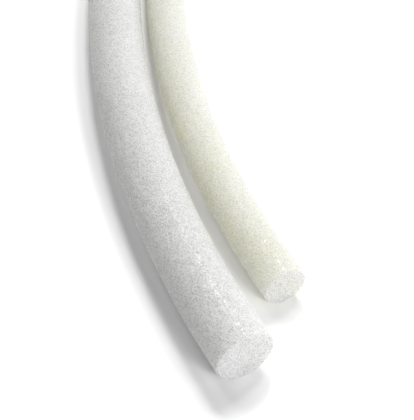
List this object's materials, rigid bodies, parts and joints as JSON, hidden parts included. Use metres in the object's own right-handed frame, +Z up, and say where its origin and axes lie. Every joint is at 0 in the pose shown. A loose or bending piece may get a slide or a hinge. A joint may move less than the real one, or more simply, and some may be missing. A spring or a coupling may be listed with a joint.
{
  "type": "foam rod pair",
  "caption": "Flexible round foam rods, a thick white one and a thinner ivory one, cut square and bowed from the reel, lying side by side.",
  "frame": {"origin": "middle of the pair's footprint, on the surface that both rods lie on", "axes": "+Z up; +Y along the rods, from the near cut faces to the far ones; both rods bow towards -X, and the small rod is on the +X side of the large one"},
  "size_m": [0.116, 0.4834, 0.0254],
  "materials": {
    "white_foam": "white closed-cell foam with a fine pebbled skin that sparkles a little",
    "ivory_foam": "ivory closed-cell foam with a fine pebbled skin"
  },
  "bodies": {
    "large_rod": {"large_rod": "white_foam"},
    "small_rod": {"small_rod": "ivory_foam"}
  },
  "joints": [
    {"name": "small_rod_slide", "type": "slide", "parent": "large_rod", "child": "small_rod", "axis": [1, 0, 0], "range_m": [0, 0.1]}
  ]
}
